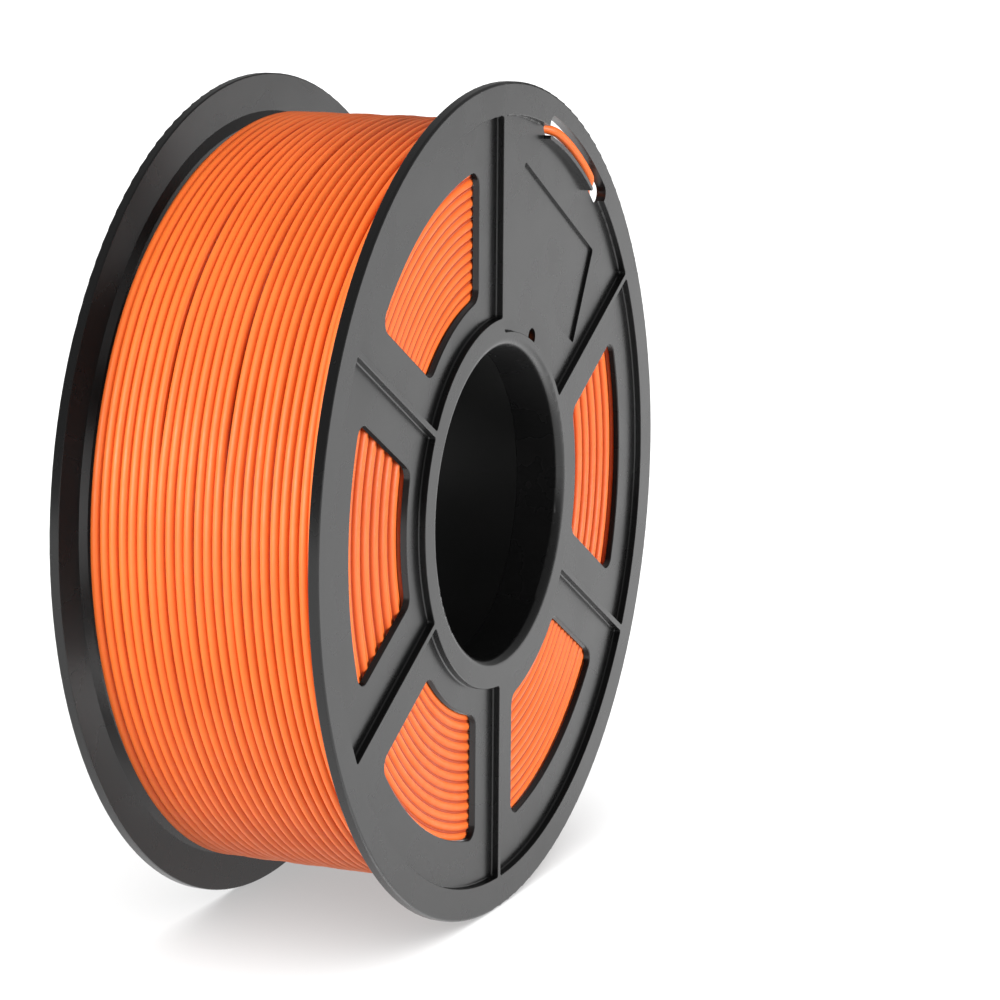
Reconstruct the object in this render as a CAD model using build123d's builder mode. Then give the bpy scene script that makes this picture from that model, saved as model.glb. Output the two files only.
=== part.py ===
from build123d import *
import math
import os

# Filament spool: two identical moulded flanges snapped onto a hub core, wound full of filament.
# Origin at the middle of the bore, bore along Y, front face towards -Y, +Z up. Millimetres.

# --- driving dimensions ---------------------------------------------------------------------
spool_radius = 100.0
spool_width = 66.0
bore_radius = 37.5
sector_count = 6
sector_angle = 360 / sector_count

# flange section, depths measured inwards from the outer face
rim_thickness = 2.5
rim_edge_radius = 0.6
rim_back_edge_radius = 0.3
recess_depth = 1.8
panel_back = 3.3
rim_cone_outer_radius = 91.0
rim_cone_inner_radius = 88.5
lip_radius = 2.0
collar_depth = 12.0
collar_wall = 1.8

# recessed sectors between the rim ring, the ribs and the hub ring
rim_ring_inner_radius = 92.2
hub_ring_radius = 44.5
rib_width = 1.5
recess_corner_radius = 0.7
recess_base_radius = 0.4
recess_edge_chamfer = 0.12

# windows through five of the sectors
window_inner_radius = 51.0
window_outer_radius = 81.0
window_rib_offset = 11.1
window_corner_radius = 3.2
window_edge_radius = 0.3

# the closed sector: label recess, filament slot with its retaining bar, anchor hole
closed_sector_angle = 60.0
rear_closed_angle = 0.0
closed_hub_ring_radius = 41.0
label_length = 51.0
label_height = 25.5
label_depth = 0.7
label_radius = 65.0
label_corner_radius = 0.8
slot_inner_radius = 90.2
slot_outer_radius = 95.2
slot_start_angle = 46.3
slot_end_angle = 72.5
bar_width = 1.0
bar_start_angle = 51.8
bar_end_angle = 71.5
anchor_hole_radius = 2.2
anchor_radius = 43.0

# snap hooks behind each flange, and what they catch on in the hub core
hook_angles = (0, 120, 240)
hook_width = 9.0
hook_inner_radius = 42.4
hook_outer_radius = 44.2
hook_barb_radius = 45.5
hook_length = 8.4
hook_barb_length = 2.0
fit_gap = 0.1
hook_middle_radius = (hook_inner_radius + hook_outer_radius) / 2
barb_middle_radius = (hook_inner_radius + hook_barb_radius) / 2

# hub core
drum_radius = 48.0
drum_wall = 1.8
sleeve_outer_radius = 41.2
web_thickness = 1.6
web_end_gap = 12.0
ledge_inner_radius = 44.6
ledge_start = 3.4
ledge_thickness = 2.6
drum_hole_radius = 1.7

# filament
filament_diameter = 2.3
winding_radius = 91.0
winding_side_gap = 0.3
winding_drum_gap = 0.1
tail_radius = 92.6
tail_depth = 1.25
tail_surface_gap = 0.1
start_y = -20.0
start_end_depth = 4.0

# --- derived sizes --------------------------------------------------------------------------
half_width = spool_width / 2
inner_half_width = half_width - panel_back
filament_radius = filament_diameter / 2
# how close to a plane a face's middle has to lie to count as lying in it
near = 0.05

front_face = Plane(origin=(0, -half_width, 0), x_dir=(1, 0, 0), z_dir=(0, -1, 0))
# the rear flange is the same moulding, turned so that its closed sector is on the right
rear_turn = math.radians(180 - closed_sector_angle - rear_closed_angle)
rear_x = (-math.cos(rear_turn), 0, math.sin(rear_turn))
rear_face = Plane(origin=(0, half_width, 0), x_dir=rear_x, z_dir=(0, 1, 0))
middle = Plane(origin=(0, 0, 0), x_dir=(1, 0, 0), z_dir=(0, -1, 0))


def polar(radius, angle):
    """A point of the face plane, by radius and by angle in degrees from its x direction."""
    return radius * math.cos(math.radians(angle)), radius * math.sin(math.radians(angle))


def sector_sketch(plane, angle, rib_offset, inner_radius, outer_radius, corner_radius):
    """Ring sector about the given angle, its straight sides parallel to the ribs beside it."""
    half_angle = sector_angle / 2
    apex = rib_offset / math.sin(math.radians(half_angle))
    reach = 2 * outer_radius
    with BuildSketch(plane) as sector:
        Circle(outer_radius)
        Circle(inner_radius, mode=Mode.SUBTRACT)
        with BuildLine():
            corner = Vector(*polar(apex, angle))
            Polyline(
                corner,
                corner + Vector(*polar(reach, angle - half_angle)),
                corner + Vector(*polar(reach, angle + half_angle)),
                close=True,
            )
        make_face(mode=Mode.INTERSECT)
        fillet(sector.vertices(), corner_radius)
    return sector.sketch


def make_flange(face):
    """One flange moulding, on the plane of its outer face."""
    section = Plane(origin=face.origin, x_dir=face.x_dir, z_dir=-face.y_dir)
    axis = Axis(face.origin, face.z_dir)
    recess_floor = face.offset(-recess_depth)
    back = face.offset(-panel_back)
    sector_angles = [closed_sector_angle + sector_angle * k for k in range(sector_count)]

    with BuildPart() as flange:
        # rim, panel and collar in one turned section, with the rounded lip of the bore
        with BuildSketch(section):
            with BuildLine():
                lip_top = (bore_radius + lip_radius, 0)
                rim_front = (spool_radius - rim_edge_radius, 0)
                rim_side = (spool_radius, -rim_edge_radius)
                rim_low = (spool_radius, -rim_thickness + rim_back_edge_radius)
                rim_back = (spool_radius - rim_back_edge_radius, -rim_thickness)
                lip_bottom = (bore_radius, -lip_radius)
                Line(lip_top, rim_front)
                RadiusArc(rim_front, rim_side, rim_edge_radius)
                Line(rim_side, rim_low)
                RadiusArc(rim_low, rim_back, rim_back_edge_radius)
                Polyline(
                    rim_back,
                    (rim_cone_outer_radius, -rim_thickness),
                    (rim_cone_inner_radius, -panel_back),
                    (bore_radius + collar_wall, -panel_back),
                    (bore_radius + collar_wall, -collar_depth),
                    (bore_radius, -collar_depth),
                    lip_bottom,
                )
                RadiusArc(lip_bottom, lip_top, lip_radius)
            make_face()
        revolve(axis=axis)

        # six recesses leave the rim ring, the hub ring and the ribs standing
        for angle in sector_angles:
            inner = closed_hub_ring_radius if angle == closed_sector_angle else hub_ring_radius
            recess = sector_sketch(
                face, angle, rib_width / 2, inner, rim_ring_inner_radius, recess_corner_radius
            )
            extrude(recess, amount=-recess_depth, mode=Mode.SUBTRACT)
        floors = flange.faces().filter_by(
            lambda f: f.is_planar and abs(recess_floor.to_local_coords(f.center()).Z) < near
        )
        fillet([edge for floor in floors for edge in floor.edges()], recess_base_radius)
        top = flange.faces().filter_by(
            lambda f: f.is_planar and abs(face.to_local_coords(f.center()).Z) < near
        ).sort_by(SortBy.AREA)[-1]
        edges = [
            edge
            for wire in top.inner_wires()
            if len(wire.edges()) > 1
            for edge in wire.edges()
        ]
        chamfer(edges, recess_edge_chamfer)

        # windows through every sector but the closed one
        for angle in sector_angles[1:]:
            window = sector_sketch(
                recess_floor,
                angle,
                window_rib_offset,
                window_inner_radius,
                window_outer_radius,
                window_corner_radius,
            )
            extrude(window, amount=-panel_back, mode=Mode.SUBTRACT)
        floors = flange.faces().filter_by(
            lambda f: f.is_planar and abs(recess_floor.to_local_coords(f.center()).Z) < near
        )
        rims = [edge for floor in floors for wire in floor.inner_wires() for edge in wire.edges()]
        fillet(rims, window_edge_radius)

        # label recess, long side across the closed sector
        with BuildSketch(recess_floor):
            with Locations(polar(label_radius, closed_sector_angle)):
                RectangleRounded(
                    label_length, label_height, label_corner_radius, rotation=closed_sector_angle - 90
                )
        extrude(amount=-label_depth, mode=Mode.SUBTRACT)

        # retaining bar along the slot
        bar_radius = slot_inner_radius - bar_width / 2
        with BuildSketch(recess_floor):
            with BuildLine():
                bar_arc = CenterArc((0, 0), bar_radius, bar_start_angle, bar_end_angle - bar_start_angle)
            SlotArc(bar_arc, bar_width)
        extrude(amount=recess_depth)

        # slot through the rim for the free end of the filament, and the anchor hole
        slot_width = slot_outer_radius - slot_inner_radius
        slot_middle = (slot_outer_radius + slot_inner_radius) / 2
        end_angle = math.degrees(slot_width / 2 / slot_middle)
        slot_angle = slot_end_angle - slot_start_angle - 2 * end_angle
        with BuildSketch(face):
            with BuildLine():
                slot_arc = CenterArc((0, 0), slot_middle, slot_start_angle + end_angle, slot_angle)
            SlotArc(slot_arc, slot_width)
            with Locations(polar(anchor_radius, closed_sector_angle)):
                Circle(anchor_hole_radius)
        extrude(amount=-2 * panel_back, mode=Mode.SUBTRACT)

        # snap hooks: a shank each, with a barb at its end
        with BuildSketch(back):
            for angle in hook_angles:
                with Locations(polar(hook_middle_radius, angle)):
                    Rectangle(hook_outer_radius - hook_inner_radius, hook_width, rotation=angle)
        extrude(amount=-hook_length)
        with BuildSketch(back.offset(-hook_length + hook_barb_length)):
            for angle in hook_angles:
                with Locations(polar(barb_middle_radius, angle)):
                    Rectangle(hook_barb_radius - hook_inner_radius, hook_width, rotation=angle)
        extrude(amount=-hook_barb_length)
    return flange.part


front_flange = make_flange(front_face)
front_flange.label = "front_flange"
rear_flange = make_flange(rear_face)
rear_flange.label = "rear_flange"

# Hub core: the drum the filament is wound on, and the sleeve that lines the bore.
core_half = inner_half_width - fit_gap
socket_radius = bore_radius + collar_wall + fit_gap
socket_length = collar_depth - panel_back
with BuildPart() as hub_core:
    with BuildSketch(middle):
        Circle(drum_radius)
        Circle(drum_radius - drum_wall, mode=Mode.SUBTRACT)
        Circle(sleeve_outer_radius)
        Circle(bore_radius, mode=Mode.SUBTRACT)
    extrude(amount=core_half, both=True)
    # webs tie the drum to the sleeve behind the ribs of the flanges
    with BuildSketch(middle):
        with PolarLocations(0, sector_count, start_angle=sector_angle / 2):
            with Locations((((sleeve_outer_radius + drum_radius) - drum_wall) / 2, 0)):
                Rectangle(drum_radius - sleeve_outer_radius - drum_wall / 2, web_thickness)
    extrude(amount=core_half - web_end_gap, both=True)
    for side in (-1, 1):
        # the collar of each flange slides into a socket at each end of the sleeve
        with BuildSketch(middle.offset(side * core_half)):
            Circle(socket_radius)
        extrude(amount=-side * socket_length, mode=Mode.SUBTRACT)
        # ledge that the snap hooks catch behind
        with BuildSketch(middle.offset(side * (core_half - ledge_start))):
            Circle(drum_radius - drum_wall / 2)
            Circle(ledge_inner_radius, mode=Mode.SUBTRACT)
        extrude(amount=-side * ledge_thickness)
    # hole in the drum for the inner end of the filament
    hole_x, hole_z = polar(1, closed_sector_angle)
    hole_way = Vector(hole_x, 0, hole_z)
    hole_plane = Plane(origin=hole_way * anchor_radius + Vector(0, start_y, 0), z_dir=hole_way)
    with BuildSketch(hole_plane):
        Circle(drum_hole_radius)
    extrude(amount=drum_radius - anchor_radius + filament_diameter, mode=Mode.SUBTRACT)
hub_core.part.label = "hub_core"

# The wound filament, as one closed ring between the flanges.
with BuildPart() as filament_winding:
    with BuildSketch(middle):
        Circle(winding_radius)
        Circle(drum_radius + winding_drum_gap, mode=Mode.SUBTRACT)
    extrude(amount=inner_half_width - winding_side_gap, both=True)
filament_winding.part.label = "filament_winding"


def around(angle, radius, y):
    """A point round the spool, by angle in degrees, radius and distance along the bore."""
    x, z = polar(radius, angle)
    return Vector(x, y, z)


def tube(route, radii):
    """A round strand along straight runs joined by tangent arcs."""
    with BuildPart() as strand:
        with BuildLine():
            path = FilletPolyline(*route, radius=radii)
        with BuildSketch(Plane(origin=path @ 0, z_dir=path % 0)):
            Circle(filament_radius)
        sweep(path=path)
    print("strand length", round(path.length, 2), "volume ratio",
          round(strand.part.volume / (math.pi * filament_radius**2 * path.length), 4))
    return strand.part


def arc_radii(route):
    """The largest radius at each corner that its two runs leave room for."""
    radii = []
    for before, here, after in zip(route, route[1:], route[2:]):
        turn = math.radians((here - before).get_angle(after - here))
        shorter = min((here - before).length, (after - here).length)
        radii.append(0.45 * shorter / math.tan(turn / 2))
    print("arc radii", [round(r, 1) for r in radii])
    return radii


# The outer end of the filament leaves the winding, comes out through the slot of the front
# flange, lies along it behind the bar, and goes back in at the slot's other end.
wound_y = -(inner_half_width - winding_side_gap - filament_radius)
wound_radius = winding_radius + filament_radius + tail_surface_gap
outside_y = -(half_width - tail_depth)
tail_route = [
    around(98, wound_radius, wound_y),
    around(93.5, wound_radius, wound_y),
    around(89, wound_radius, wound_y),
    around(84.5, wound_radius + 0.05, wound_y),
    around(80, wound_radius + 0.2, wound_y),
    around(75.5, wound_radius + 0.5, wound_y),
    around(71.4, tail_radius - 0.4, wound_y),
    around(68.8, tail_radius, outside_y + 0.1),
    around(65, tail_radius + 0.1, outside_y),
    around(61.5, tail_radius + 0.15, outside_y),
    around(58, tail_radius + 0.15, outside_y),
    around(54.5, tail_radius + 0.1, outside_y),
    around(51.2, tail_radius, outside_y + 0.1),
    around(48.6, tail_radius - 0.4, wound_y),
    around(45.2, wound_radius + 0.4, wound_y + 0.2),
]
filament_tail = tube(tail_route, arc_radii(tail_route))
filament_tail.label = "filament_tail"

# The inner end goes in through the drum and turns towards the anchor hole.
start_route = [
    around(closed_sector_angle, drum_radius, start_y),
    around(closed_sector_angle, anchor_radius, start_y),
    around(closed_sector_angle, anchor_radius, -(half_width - start_end_depth)),
]
filament_start = tube(start_route, arc_radii(start_route))
filament_start.label = "filament_start"

os.makedirs("parts", exist_ok=True)
export_step(front_flange, "parts/front_flange.step")
export_step(rear_flange, "parts/rear_flange.step")
export_step(hub_core.part, "parts/hub_core.step")
export_step(filament_winding.part, "parts/filament_winding.step")
export_step(filament_tail, "parts/filament_tail.step")
export_step(filament_start, "parts/filament_start.step")
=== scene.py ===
"""Looks of the filament spool: black moulded flanges and hub, orange filament wound in strands.

Metres. Origin at the middle of the bore, bore along Y, front flange towards -Y, +Z up.
"""

import math
import random

import bpy
import numpy as np
from mathutils import Matrix, Vector


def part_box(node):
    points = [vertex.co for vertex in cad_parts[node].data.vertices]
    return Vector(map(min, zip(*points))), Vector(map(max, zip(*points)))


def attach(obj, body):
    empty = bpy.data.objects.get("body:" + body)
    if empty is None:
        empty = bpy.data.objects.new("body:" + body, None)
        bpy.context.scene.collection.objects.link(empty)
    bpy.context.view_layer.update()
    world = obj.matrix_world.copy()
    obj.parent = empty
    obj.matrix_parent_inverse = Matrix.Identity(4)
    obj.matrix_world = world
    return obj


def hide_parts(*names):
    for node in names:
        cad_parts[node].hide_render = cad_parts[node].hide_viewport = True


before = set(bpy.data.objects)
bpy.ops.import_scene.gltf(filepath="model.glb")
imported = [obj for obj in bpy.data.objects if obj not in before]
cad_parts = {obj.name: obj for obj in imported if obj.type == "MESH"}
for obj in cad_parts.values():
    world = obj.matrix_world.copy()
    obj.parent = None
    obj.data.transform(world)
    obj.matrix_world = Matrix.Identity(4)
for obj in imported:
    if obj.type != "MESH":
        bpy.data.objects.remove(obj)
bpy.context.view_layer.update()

MM = 0.001
TURN = 2 * math.pi
rng = random.Random(7)

# --- sizes from the frame -------------------------------------------------------------------
front_low, front_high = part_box("front_flange")
winding_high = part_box("filament_winding")[1]
core_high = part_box("hub_core")[1]
half_width = -front_low.y
spool_radius = front_high.z
winding_radius = winding_high.z
winding_half = winding_high.y
drum_radius = core_high.z

# --- the filament, as it is wound -----------------------------------------------------------
strand_radius = 1.15 * MM
strand_sides = 14
steps_per_turn = 240
turn_count = 24
layer_count = 18
outer_radius = winding_radius - strand_radius
layer_pitch = (outer_radius - drum_radius - strand_radius) / (layer_count - 1)
outer_half = 26.9 * MM
turn_pitch = 2 * outer_half / (turn_count - 1)

# where the outermost turn leaves the winding
tail_angle = 98.0
tail_radius = 92.25 * MM
tail_y = -28.25 * MM

# The part of each turn in which the strand crosses over to the next place.
crossing_share = 0.14
# Turns over which the strand climbs out of the layer below, and out of its own layer at the end.
sink_turns = 0.11
lift_start = 0.256
lift_turns = 0.167
# Waviness of the strand: once to four times round, and finer.
sway_widths = [0.3 * MM, 0.2 * MM, 0.1 * MM, 0.06 * MM]
fine_sway_width = 0.05 * MM
fine_lift_height = 0.06 * MM
# Turns over which the waviness fades in and out.
fade_turns = 3

# Two grooves stand open between these angles in the upper left of the winding.
open_places = (6.5, 13.5)
open_from, open_fade_in = 75, 20
open_to, open_fade_out = 170, 8
open_width = 0.25 * MM

# The turns against the flanges, which show through the windows.
side_half = winding_half + 0.15 * MM
side_strand_radius = 0.5 * layer_pitch
side_sway_widths = [0.05 * MM, 0.04 * MM, 0.03 * MM]
# Every second one is pushed back by the least amount, and by more at the left and right.
least_push = 0.1 * MM
side_push = 0.6 * strand_radius
push_from, push_fade = 0.2, 0.4
# Thin strands that make the grooves between them shallow, and carry the full painted shade.
filler_radius = 0.5 * MM
filler_depth = 0.8 * MM
filler_sides = 8

# Painted shade on the sides of a strand, from none to full: in the outer layer, and at the
# flanges.
outer_painted_shade_strength = 0.5
side_painted_shade_strength = 1.6

# --- colours --------------------------------------------------------------------------------
strand_tones = [(0.3, (0.86, 0.15, 0.018, 1.0)), (0.7, (0.92, 0.175, 0.025, 1.0))]
# The painted shade colour, mixed into the strands where they turn away into the grooves.
painted_groove_shade_colour = (0.42, 0.045, 0.002, 1.0)
flange_tones = (0.013, 0.013, 0.0132, 1), (0.017, 0.017, 0.0172, 1)
hub_tones = (0.012, 0.012, 0.012, 1), (0.018, 0.018, 0.018, 1)
white = (1.0, 1.0, 1.0, 1.0)


# ============================================================================================
# Camera, at the photograph's viewing angle
# ============================================================================================
def add_camera():
    azimuth = math.radians(66.91)
    elevation = math.radians(10.30)
    roll = math.radians(-0.474)
    distance = 0.8502
    aim_right = 0.57 * MM
    aim_up = -0.78 * MM
    data = bpy.data.cameras.new("camera")
    data.sensor_width = 36.0
    data.lens = 128.36
    data.clip_start = 0.05
    data.clip_end = 20.0
    camera = bpy.data.objects.new("camera", data)
    bpy.context.scene.collection.objects.link(camera)
    to_view = (
        Matrix.Rotation(roll, 3, "Z")
        @ Matrix.Rotation(elevation, 3, "X")
        @ Matrix.Rotation(azimuth, 3, "Y")
        @ Matrix.Rotation(-math.pi / 2, 3, "X")
    )
    face_centre = Vector((0.0, -half_width, 0.0))
    turned = to_view.transposed()
    location = face_centre + turned @ Vector((-aim_right, -aim_up, distance))
    camera.matrix_world = Matrix.Translation(location) @ turned.to_4x4()
    bpy.context.scene.camera = camera


# ============================================================================================
# Materials
# ============================================================================================
def new_material(name):
    material = bpy.data.materials.new(name)
    material.use_nodes = True
    tree = material.node_tree
    tree.nodes.clear()
    out = tree.nodes.new("ShaderNodeOutputMaterial")
    shader = tree.nodes.new("ShaderNodeBsdfPrincipled")
    tree.links.new(shader.outputs["BSDF"], out.inputs["Surface"])
    return material, tree, shader


def noise(tree, coords, scale, detail, roughness=0.5):
    texture = tree.nodes.new("ShaderNodeTexNoise")
    texture.inputs["Scale"].default_value = scale
    texture.inputs["Detail"].default_value = detail
    texture.inputs["Roughness"].default_value = roughness
    tree.links.new(coords.outputs["Object"], texture.inputs["Vector"])
    return texture.outputs["Fac"]


def ramp(tree, factor, stops):
    node = tree.nodes.new("ShaderNodeValToRGB")
    for element, (place, colour) in zip(node.color_ramp.elements, stops):
        element.position = place
        element.color = colour
    tree.links.new(factor, node.inputs["Fac"])
    return node.outputs["Color"]


def remap(tree, factor, low, high, start=0.3, end=0.7):
    node = tree.nodes.new("ShaderNodeMapRange")
    node.inputs["From Min"].default_value = start
    node.inputs["From Max"].default_value = end
    node.inputs["To Min"].default_value = low
    node.inputs["To Max"].default_value = high
    tree.links.new(factor, node.inputs["Value"])
    return node.outputs["Result"]


def mix_colours(tree, factor, first, second):
    """From the first colour, an output, to the second, a constant."""
    node = tree.nodes.new("ShaderNodeMix")
    node.data_type = "RGBA"
    first_input, second_input = (s for s in node.inputs if s.type == "RGBA")
    colour_output = next(s for s in node.outputs if s.type == "RGBA")
    tree.links.new(factor, node.inputs["Factor"])
    tree.links.new(first, first_input)
    second_input.default_value = second
    return colour_output


def bump(tree, shader, heights):
    """Chains (height output, strength, distance) into the shader's normal."""
    previous = None
    for height, strength, distance in heights:
        node = tree.nodes.new("ShaderNodeBump")
        node.inputs["Strength"].default_value = strength
        node.inputs["Distance"].default_value = distance
        tree.links.new(height, node.inputs["Height"])
        if previous:
            tree.links.new(previous, node.inputs["Normal"])
        previous = node.outputs["Normal"]
    tree.links.new(previous, shader.inputs["Normal"])


def moulded_plastic(name, tones, roughness, grain_distance, gloss):
    """Satin injection-moulded plastic: slow tone changes, fine spark-eroded grain."""
    material, tree, shader = new_material(name)
    coords = tree.nodes.new("ShaderNodeTexCoord")
    flow = noise(tree, coords, 14.0, 3.0)
    stops = list(zip((0.3, 0.7), tones))
    tree.links.new(ramp(tree, flow, stops), shader.inputs["Base Color"])
    blotch = noise(tree, coords, 60.0, 4.0)
    tree.links.new(remap(tree, blotch, *roughness), shader.inputs["Roughness"])
    grain = noise(tree, coords, 2600.0, 3.0, 0.6)
    bump(tree, shader, [(grain, 0.3, grain_distance)])
    shader.inputs["Specular IOR Level"].default_value = gloss
    return material


def filament_plastic():
    """Extruded plastic: saturated orange with painted shade in the grooves, soft sheen, faint
    ripples.
    """
    material, tree, shader = new_material("filament_orange")
    coords = tree.nodes.new("ShaderNodeTexCoord")
    tone = noise(tree, coords, 45.0, 3.0)
    # Painted shade: the orange turns to the shade colour by the mask that each strand mesh
    # carries.
    shade_mask_node = tree.nodes.new("ShaderNodeAttribute")
    shade_mask_node.attribute_name = "painted_shade_mask"
    shade = remap(tree, shade_mask_node.outputs["Fac"], low=0.08, high=1.0, start=0.0, end=1.0)
    surface = mix_colours(tree, shade, ramp(tree, tone, strand_tones), painted_groove_shade_colour)
    tree.links.new(surface, shader.inputs["Base Color"])
    wear = noise(tree, coords, 300.0, 3.0)
    tree.links.new(remap(tree, wear, 0.45, 0.58), shader.inputs["Roughness"])
    ripple = noise(tree, coords, 900.0, 2.0)
    mottle = noise(tree, coords, 1900.0, 3.0)
    bump(tree, shader, [(ripple, 0.25, 0.03 * MM), (mottle, 0.3, 0.02 * MM)])
    shader.inputs["Specular IOR Level"].default_value = 0.45
    shader.inputs["Subsurface Weight"].default_value = 0.12
    shader.inputs["Subsurface Radius"].default_value = (0.003, 0.0012, 0.0004)
    shader.inputs["Subsurface Scale"].default_value = 0.4
    return material


def dress(thing, material):
    thing.data.materials.clear()
    thing.data.materials.append(material)


# ============================================================================================
# Strand meshes
# ============================================================================================
def frames_around(points, closed):
    """Outward and sideways directions across a strand that runs round the spool."""
    ahead = np.roll(points, -1, axis=0)
    behind = np.roll(points, 1, axis=0)
    if not closed:
        ahead[-1] = points[-1]
        behind[0] = points[0]
    tangent = ahead - behind
    tangent /= np.linalg.norm(tangent, axis=1)[:, None]
    outward = points * (1.0, 0.0, 1.0)
    outward -= tangent * np.sum(outward * tangent, axis=1)[:, None]
    outward /= np.linalg.norm(outward, axis=1)[:, None]
    return outward, np.cross(tangent, outward)


def tube_mesh(points, closed, radius=strand_radius, sides=strand_sides,
              facing=None, painted_shade_strength=outer_painted_shade_strength):
    """Vertices and faces of a strand along points, and the painted shade of each vertex.

    The side that shows is the one away from the bore, or the one towards facing.
    """
    outward, side = frames_around(points, closed)
    count = len(points)
    turn = np.linspace(0.0, TURN, sides, endpoint=False)[None, :, None]
    ring = outward[:, None, :] * np.cos(turn) + side[:, None, :] * np.sin(turn)
    verts = (points[:, None, :] + ring * radius).reshape(-1, 3)
    if facing is None:
        toward = outward[:, None, :]
    else:
        toward = np.asarray(facing, float)[None, None, :]
    # Painted shade, deeper the further the surface turns away from the side that shows.
    turned_away = (1.0 - np.sum(ring * toward, axis=2)).reshape(-1)
    painted_shade_mask = np.clip(painted_shade_strength * turned_away / 2, 0.0, 1.0)
    faces = []
    for i in range(count if closed else count - 1):
        j = (i + 1) % count
        for k in range(sides):
            m = (k + 1) % sides
            faces.append((i * sides + k, j * sides + k, j * sides + m, i * sides + m))
    if not closed:
        faces.append(tuple(range(sides))[::-1])
        faces.append(tuple((count - 1) * sides + k for k in range(sides)))
    return verts, faces, painted_shade_mask


def make_object(name, verts, faces):
    mesh = bpy.data.meshes.new(name)
    mesh.from_pydata([tuple(v) for v in verts], [], faces)
    mesh.update()
    thing = bpy.data.objects.new(name, mesh)
    bpy.context.scene.collection.objects.link(thing)
    return thing


def make_strands(name, verts, faces, painted_shade_mask, material):
    """A smooth piece that carries the painted shade of its grooves, with flat ends."""
    thing = make_object(name, verts, faces)
    mesh = thing.data
    mesh.polygons.foreach_set("use_smooth", [len(p.vertices) == 4 for p in mesh.polygons])
    mesh.attributes.new("painted_shade_mask", "FLOAT", "POINT").data.foreach_set("value", painted_shade_mask)
    dress(thing, material)
    return thing


def joined(pieces):
    """One vertex list, face list and painted shade list from several."""
    verts, faces, grooves, base = [], [], [], 0
    for v, f, g in pieces:
        verts.append(v)
        faces.extend(tuple(i + base for i in face) for face in f)
        grooves.append(g)
        base += len(v)
    return np.concatenate(verts), faces, np.concatenate(grooves)


def on_spool(angle, radius, y):
    """Points of the spool from angle in radians, radius and distance along the bore."""
    return np.stack([radius * np.cos(angle), y + 0 * angle, radius * np.sin(angle)], axis=1)


def smooth_step(x):
    x = np.clip(x, 0.0, 1.0)
    return x * x * (3 - 2 * x)


def random_phases(count):
    return [rng.uniform(0, TURN) for _ in range(count)]


def sway(angle, phases, strengths):
    """Slow waviness round the spool, the same at both ends of a turn."""
    total = 0 * angle
    for order, (phase, strength) in enumerate(zip(phases, strengths), start=1):
        total = total + strength * np.sin(order * angle + phase)
    return total


# ============================================================================================
# The wound filament
# ============================================================================================
def loosened(place, angle):
    """How far the strand moves aside where grooves stand open in the upper left."""
    degrees = np.degrees(angle) % 360
    here = (smooth_step((degrees - open_from) / open_fade_in)
            * smooth_step((open_to - degrees) / open_fade_out))
    total = 0 * place
    for open_place in open_places:
        away = place - open_place
        total = total - open_width * np.tanh(away / 0.3) * np.exp(-np.abs(away) / 2)
    return total * here


def outer_layer(material):
    """The outermost layer: one strand, turn after turn, from the rear flange to the front one."""
    travel = np.linspace(0.0, turn_count * TURN, turn_count * steps_per_turn + 1)
    turns = travel / TURN
    whole = np.minimum(np.floor(turns), turn_count - 1)
    crossing = (turns - whole - (1 - crossing_share)) / crossing_share
    place = whole + smooth_step(crossing)
    middles = np.append(outer_half - turn_pitch * np.arange(turn_count), tail_y)
    y = np.interp(place, np.arange(turn_count + 1), middles)
    angle = math.radians(tail_angle) - travel
    phases = random_phases(8)
    amount = smooth_step(np.minimum(turns, turn_count - turns) / fade_turns)
    fine_sway = np.sin(1.37 * travel + phases[4]) + np.sin(3.61 * travel + phases[5])
    fine_lift = np.sin(2.23 * travel + phases[6]) + np.sin(5.19 * travel + phases[7])
    y = y + amount * sway(-travel, phases[:4], sway_widths)
    y = y + amount * fine_sway_width * fine_sway
    y = y + amount * loosened(place, angle)
    radius = outer_radius - layer_pitch * (1 - smooth_step(turns / sink_turns))
    lifting = smooth_step((turns - turn_count + lift_start) / lift_turns)
    radius = radius + (tail_radius - outer_radius) * lifting
    radius = radius + amount * fine_lift_height * fine_lift
    strand = tube_mesh(on_spool(angle, radius, y), closed=False)
    return make_strands("filament_outer_layer", *strand, material)


def side_rings(side, name, material):
    """The turns that lie against one flange, every second one pushed a little away from it."""
    angle = np.linspace(0.0, TURN, steps_per_turn, endpoint=False)
    at_sides = smooth_step((np.cos(2 * angle) - push_from) / push_fade)
    pushed = least_push + side_push * at_sides
    pieces = []
    for k in range(layer_count - 2):
        phases = random_phases(3)
        radius = drum_radius + strand_radius + layer_pitch * k
        radius = radius + sway(angle, phases, side_sway_widths)
        y = side * (side_half - side_strand_radius - (k % 2) * pushed)
        # Painted shade darkens each ring where it turns away from the flange.
        pieces.append(tube_mesh(
            on_spool(angle, radius, y), closed=True, radius=side_strand_radius,
            facing=(0, side, 0), painted_shade_strength=side_painted_shade_strength,
        ))
        if k:
            groove_y = side * (side_half - filler_depth - pushed)
            between = on_spool(angle, radius - layer_pitch / 2, groove_y)
            verts, faces, painted_shade_mask = tube_mesh(
                between, closed=True, radius=filler_radius, sides=filler_sides
            )
            # The fillers carry the full painted shade.
            pieces.append((verts, faces, np.ones_like(painted_shade_mask)))
    return make_strands(name, *joined(pieces), material)


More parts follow.
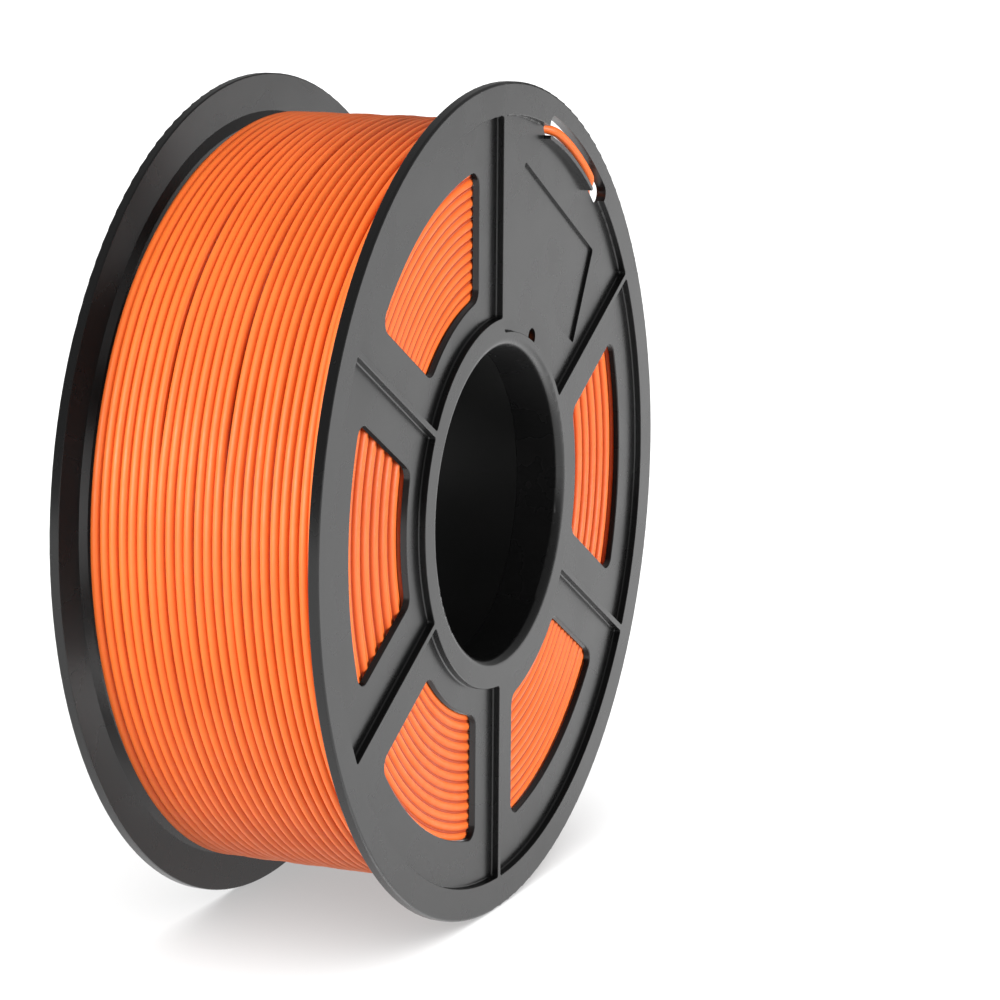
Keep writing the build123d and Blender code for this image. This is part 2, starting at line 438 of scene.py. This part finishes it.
def inner_layers(material):
    """The layer below the surface, turn by turn, on a ring that fills the space behind."""
    steps = steps_per_turn
    angle = np.linspace(0.0, TURN, steps, endpoint=False)
    below = outer_radius - layer_pitch
    pieces = []
    for k in range(turn_count + 1):
        y = turn_pitch * (k - turn_count / 2) + 0 * angle
        pieces.append(tube_mesh(on_spool(angle, below + 0 * angle, y), closed=True))
    low = drum_radius + 0.1 * MM
    half = winding_half - 1.6 * strand_radius
    section = [(low, -half), (below, -half), (below, half), (low, half)]
    corners = [on_spool(angle, r + 0 * angle, y) for r, y in section]
    faces = []
    for i in range(steps):
        j = (i + 1) % steps
        for k in range(4):
            m = (k + 1) % 4
            faces.append((k * steps + i, m * steps + i, m * steps + j, k * steps + j))
    # The ring behind carries half the painted shade.
    pieces.append((np.concatenate(corners), faces, np.full(4 * steps, 0.5)))
    return make_strands("filament_inner_layers", *joined(pieces), material)


def strand_along(name, route, material):
    """A strand with the route's points as the control points of a smooth NURBS spline."""
    data = bpy.data.curves.new(name, "CURVE")
    data.dimensions = "3D"
    data.bevel_depth = strand_radius
    data.bevel_resolution = 5
    data.resolution_u = 10
    data.use_fill_caps = True
    spline = data.splines.new("NURBS")
    spline.points.add(len(route) - 1)
    for point, place in zip(spline.points, route):
        point.co = (*place, 1.0)
    spline.order_u = 3
    spline.use_endpoint_u = True
    thing = bpy.data.objects.new(name, data)
    bpy.context.scene.collection.objects.link(thing)
    dress(thing, material)
    return thing


def around(angle, radius, y):
    """A point from an angle in degrees, and a radius and a place along the bore in millimetres."""
    a = math.radians(angle)
    return (radius * math.cos(a) * MM, y * MM, radius * math.sin(a) * MM)


# The outer end: off the winding, out through the slot, along it, and back in.
tail_route = [
    around(98, 92.25, -28.25),
    around(93.5, 92.25, -28.25),
    around(89, 92.25, -28.25),
    around(84.5, 92.3, -28.25),
    around(80, 92.45, -28.25),
    around(75.5, 92.75, -28.25),
    around(71.4, 92.2, -28.25),
    around(68.8, 92.6, -31.65),
    around(65, 92.7, -31.75),
    around(61.5, 92.75, -31.75),
    around(58, 92.75, -31.75),
    around(54.5, 92.7, -31.75),
    around(51.2, 92.6, -31.65),
    around(48.6, 92.2, -28.25),
    around(45.2, 92.65, -28.05),
]
# The inner end: in through the drum and along the sleeve towards the front.
start_route = [
    around(60, 48, -20),
    around(60, 43, -20),
    around(60, 43, -29),
]


# ============================================================================================
# Floor and light
# ============================================================================================
def add_stage():
    """A pale floor that gives off part of its own white, so that shadows on it stay soft."""
    size = 6.0
    floor = make_object(
        "floor",
        [(-size, -size, 0), (size, -size, 0), (size, size, 0), (-size, size, 0)],
        [(0, 1, 2, 3)],
    )
    floor.location.z = -spool_radius
    # It is mirrored in the mouldings but doesn't light anything from below.
    floor.visible_diffuse = False
    material, _, shader = new_material("floor_white")
    shader.inputs["Base Color"].default_value = (0.1, 0.1, 0.1, 1.0)
    shader.inputs["Roughness"].default_value = 0.9
    shader.inputs["Emission Color"].default_value = white
    shader.inputs["Emission Strength"].default_value = 0.45
    dress(floor, material)
    return floor


def add_lamp(name, data, direction):
    thing = bpy.data.objects.new(name, data)
    bpy.context.scene.collection.objects.link(thing)
    thing.rotation_euler = Vector(direction).to_track_quat("-Z", "Y").to_euler()
    return thing


def area_light(name, place, target, size, power):
    data = bpy.data.lights.new(name, "AREA")
    data.shape = "DISK"
    data.size = size
    data.energy = power
    thing = add_lamp(name, data, Vector(target) - Vector(place))
    thing.location = place
    return thing


def sun_light(name, direction, strength, spread):
    data = bpy.data.lights.new(name, "SUN")
    data.energy = strength
    data.angle = math.radians(spread)
    return add_lamp(name, data, direction)


def shine_only_on(lights, name, things):
    """Lets the lights reach only these things, and returns their collection."""
    collection = bpy.data.collections.new(name)
    for thing in things:
        collection.objects.link(thing)
    for light in lights:
        light.light_linking.receiver_collection = collection
    return collection


def add_light(floor, strands, mouldings):
    world = bpy.data.worlds.new("studio")
    world.use_nodes = True
    background = world.node_tree.nodes["Background"]
    background.inputs["Color"].default_value = white
    background.inputs["Strength"].default_value = 0.3
    bpy.context.scene.world = world
    middle = (0, 0, 0)
    key = area_light("key", (-1.7, 0.65, 0.48), middle, size=1.4, power=60)
    fill = area_light("front_fill", (-0.15, -1.8, 0.3), middle, size=1.0, power=44)
    just_above_floor = (0, 0, 0.5 * MM - spool_radius)
    bounce = area_light("floor_bounce", just_above_floor, (0, 0, 1), size=0.9, power=0.35)
    bounce.visible_camera = False
    shine_only_on([key, fill, bounce], "strand_lights", strands)
    backdrop_light = sun_light("backdrop_light", (0.46, 0.2, -1.0), strength=27.0, spread=90)
    shine_only_on([backdrop_light], "backdrop_lights", [floor])
    # From below: it brings out the edges of the mouldings, and only they shade it.
    edge_light = sun_light("edge_light", (-0.35, 0.3, 0.88), strength=3.5, spread=50)
    edge_collection = shine_only_on([edge_light], "edge_lights", mouldings)
    edge_light.light_linking.blocker_collection = edge_collection


add_camera()

filament = filament_plastic()
flange_plastic = moulded_plastic("flange_black", flange_tones, (0.24, 0.3), 0.01 * MM, 0.46)
hub_plastic = moulded_plastic("hub_black", hub_tones, (0.4, 0.5), 0.012 * MM, 0.22)

front_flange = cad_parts["front_flange"]
rear_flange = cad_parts["rear_flange"]
hub_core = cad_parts["hub_core"]
dress(front_flange, flange_plastic)
dress(rear_flange, flange_plastic)
dress(hub_core, hub_plastic)

wound = [
    outer_layer(filament),
    side_rings(-1, "filament_front_turns", filament),
    side_rings(1, "filament_rear_turns", filament),
    inner_layers(filament),
]
for piece in wound:
    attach(piece, "root")
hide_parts("filament_winding")

tail = strand_along("filament_tail_end", tail_route, filament)
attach(tail, "root")
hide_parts("filament_tail")
start = strand_along("filament_start_end", start_route, filament)
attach(start, "root")
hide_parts("filament_start")

# The wound strands aren't mirrored in the rear flange's inner face, which stays black.
for piece in wound:
    piece.visible_glossy = False
add_light(add_stage(), wound + [tail, start], [front_flange, rear_flange, hub_core])
bpy.context.scene.view_settings.view_transform = "Standard"
